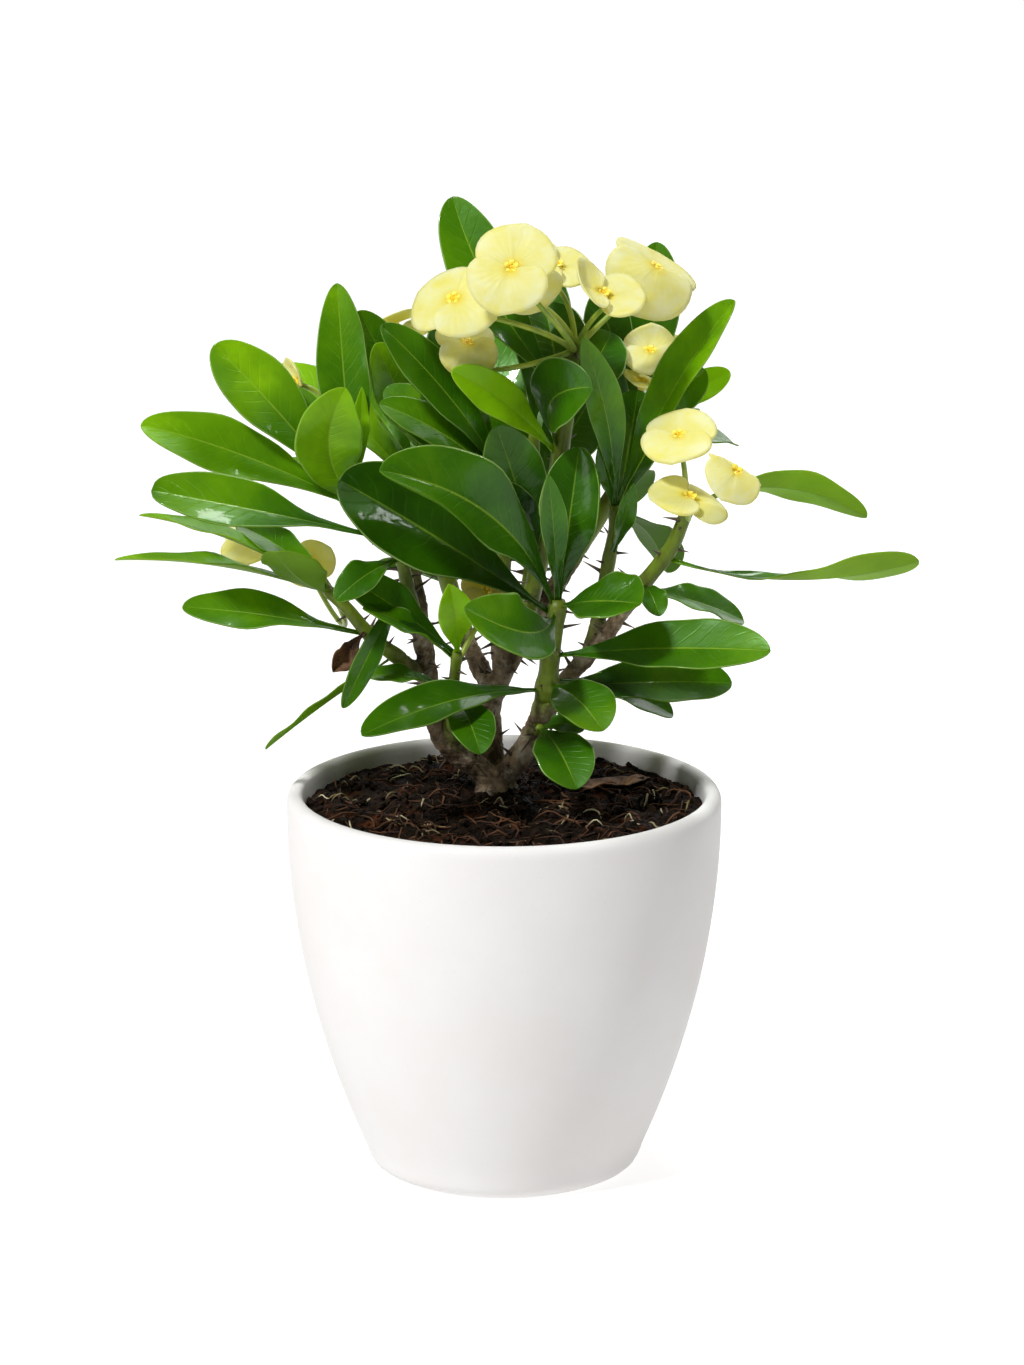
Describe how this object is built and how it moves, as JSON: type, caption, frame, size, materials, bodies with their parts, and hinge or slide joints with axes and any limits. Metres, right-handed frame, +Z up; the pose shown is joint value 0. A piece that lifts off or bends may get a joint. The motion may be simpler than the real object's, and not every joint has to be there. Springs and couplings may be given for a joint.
{
  "type": "potted crown of thorns plant",
  "caption": "Thorny, forked houseplant with glossy oval leaves and small yellow paired bracts, standing in soil in a round tapered white pot.",
  "frame": {"origin": "middle of the pot's flat foot", "axes": "+Z up along the pot's axis; -Y towards the front of the plant, the side seen in the picture; +X to the right of the plant as seen from the front"},
  "size_m": [0.3116, 0.2152, 0.3796],
  "materials": {
    "white_ceramic": "matte white, slightly warm",
    "potting_soil": null,
    "bark": "rough grey-brown bark with leaf scars",
    "leaf_green": null,
    "bract_yellow": null,
    "dry_leaf": null
  },
  "bodies": {
    "root": {"pot": "white_ceramic", "soil": "potting_soil", "trunk": "bark", "dried_leaf": "dry_leaf", "fallen_leaf": "dry_leaf", "shoot_front": "leaf_green", "shoot_centre": "leaf_green", "shoot_right": "leaf_green", "shoot_middle_right": "leaf_green", "shoot_back_right": "leaf_green", "shoot_middle": "leaf_green", "shoot_back_left": "leaf_green", "shoot_back": "leaf_green", "shoot_left": "leaf_green", "shoot_left_front": "leaf_green", "shoot_low_left": "leaf_green", "shoot_low_middle": "leaf_green", "sprout": "leaf_green", "bloom_01": "bract_yellow", "bloom_02": "bract_yellow", "bloom_03": "bract_yellow", "bloom_04": "bract_yellow", "bloom_05": "bract_yellow", "bloom_06": "bract_yellow", "bloom_07": "bract_yellow", "bloom_08": "bract_yellow", "bloom_09": "bract_yellow", "bloom_10": "bract_yellow", "bloom_11": "bract_yellow", "bloom_12": "bract_yellow", "bloom_13": "bract_yellow", "bloom_14": "bract_yellow", "bloom_15": "bract_yellow", "bloom_16": "bract_yellow", "bloom_17": "bract_yellow", "bloom_18": "bract_yellow", "bloom_19": "bract_yellow"}
  },
  "joints": []
}
